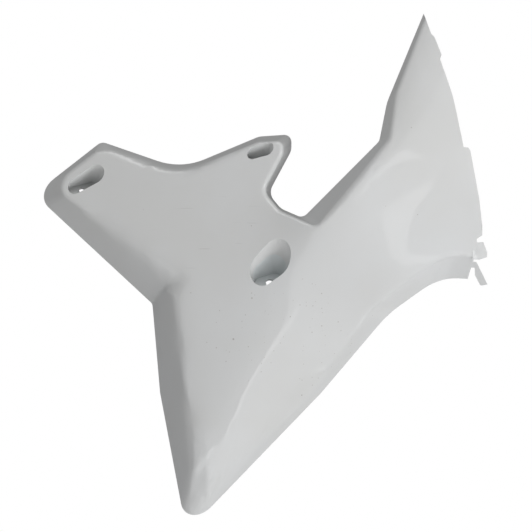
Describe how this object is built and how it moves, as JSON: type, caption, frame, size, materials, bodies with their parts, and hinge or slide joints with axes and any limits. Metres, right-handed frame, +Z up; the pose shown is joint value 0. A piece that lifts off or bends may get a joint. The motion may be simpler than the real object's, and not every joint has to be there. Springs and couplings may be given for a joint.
{
  "type": "tank shroud",
  "caption": "Moulded one-piece side shroud for a motorbike tank: crowned face with a ridge, leaning rim flanges, a notch, recessed bolt pockets and lap tabs.",
  "frame": {"origin": "centre of the middle bolt's seat, on the bolt's axis", "axes": "+X towards the front of the bike, +Z up, -Y outwards from the bike, so the painted face looks towards -Y"},
  "size_m": [0.4238, 0.1213, 0.4767],
  "materials": {
    "painted_shell": "gloss white moulded plastic, lightly scuffed and specked with dirt"
  },
  "bodies": {
    "root": {"tank_shroud": "painted_shell"}
  },
  "joints": []
}
